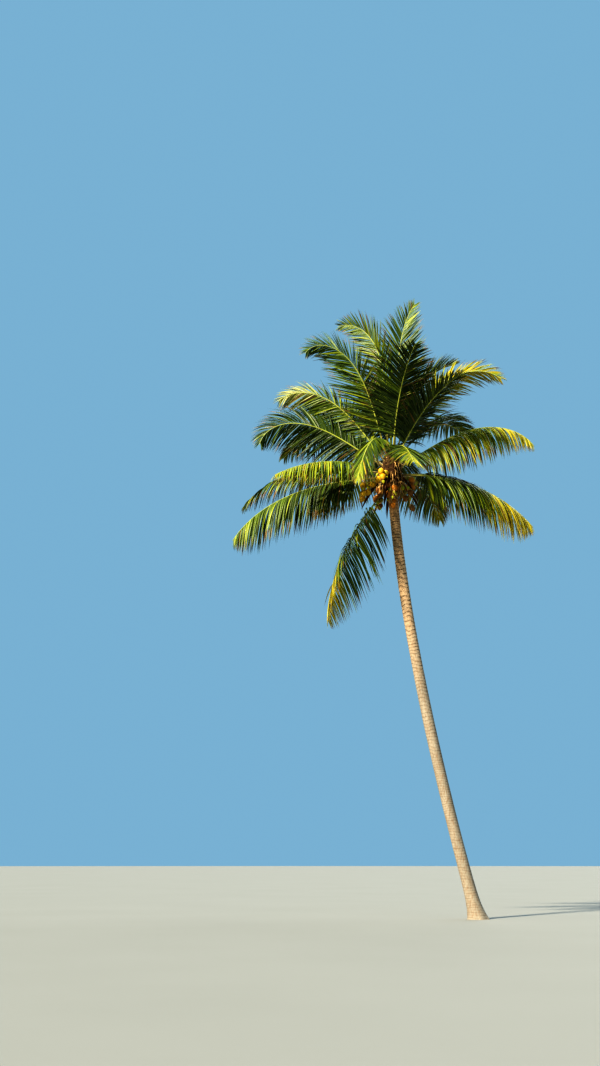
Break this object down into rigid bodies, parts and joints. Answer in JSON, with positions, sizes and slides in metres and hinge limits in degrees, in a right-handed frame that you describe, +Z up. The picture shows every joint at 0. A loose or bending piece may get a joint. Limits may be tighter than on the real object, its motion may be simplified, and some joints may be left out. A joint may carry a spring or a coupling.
{
  "type": "coconut palm tree",
  "caption": "Tall leaning palm tree: ringed trunk with a root flare, a round crown of arching feather-shaped fronds, and nuts hanging in bunches below the heart.",
  "frame": {"origin": "middle of the flat cut under the trunk, at ground level", "axes": "+Z up; -X is the way the trunk leans; -Y is the side seen in the picture"},
  "size_m": [9.5099, 8.6246, 19.5554],
  "materials": {
    "bark": "rough grey-tan bark with leaf-scar rings",
    "fibre": "dry brown leaf-sheath fibre",
    "leaf_deep": "deep green, half glossy blade",
    "leaf_green": "green, half glossy blade",
    "leaf_lime": "yellow-green, half glossy blade",
    "leaf_gold": "yellow, half glossy blade",
    "yellow_nut": "smooth yellow husk",
    "orange_nut": "smooth orange-brown husk",
    "brown_nut": "dry brown husk"
  },
  "bodies": {
    "root": {"trunk": "bark", "leaf_sheaths": "fibre", "spear_leaf": "leaf_lime", "frond_01_inner": "leaf_green", "frond_01_outer": "leaf_green", "frond_02_inner": "leaf_lime", "frond_02_outer": "leaf_lime", "frond_03": "leaf_deep", "frond_04_inner": "leaf_deep", "frond_04_outer": "leaf_deep", "frond_05_inner": "leaf_gold", "frond_05_outer": "leaf_gold", "frond_06_inner": "leaf_lime", "frond_06_outer": "leaf_lime", "frond_07_inner": "leaf_green", "frond_07_outer": "leaf_green", "frond_08": "leaf_deep", "frond_09_inner": "leaf_green", "frond_09_outer": "leaf_green", "frond_10": "leaf_lime", "frond_11_inner": "leaf_deep", "frond_11_outer": "leaf_deep", "frond_12_inner": "leaf_gold", "frond_12_outer": "leaf_gold", "frond_13_inner": "leaf_gold", "frond_13_outer": "leaf_gold", "frond_14_inner": "leaf_lime", "frond_14_outer": "leaf_lime", "frond_15_inner": "leaf_green", "frond_15_outer": "leaf_green", "frond_16_inner": "leaf_green", "frond_16_outer": "leaf_green", "frond_17_inner": "leaf_green", "frond_17_outer": "leaf_green", "frond_18_inner": "leaf_green", "frond_18_outer": "leaf_green", "frond_19_inner": "leaf_deep", "frond_19_outer": "leaf_deep", "frond_20_inner": "leaf_green", "frond_20_outer": "leaf_green", "frond_21_inner": "leaf_green", "frond_21_outer": "leaf_green", "frond_22_inner": "leaf_deep", "frond_22_outer": "leaf_deep", "frond_23_inner": "leaf_lime", "frond_23_outer": "leaf_lime", "frond_24_inner": "leaf_green", "frond_24_outer": "leaf_green", "frond_25": "leaf_deep", "fruit_bunch_1": "yellow_nut", "fruit_bunch_2": "yellow_nut", "fruit_bunch_3": "orange_nut", "fruit_bunch_4": "brown_nut", "fruit_bunch_5": "orange_nut", "fruit_bunch_6": "yellow_nut", "fruit_bunch_7": "brown_nut"}
  },
  "joints": []
}
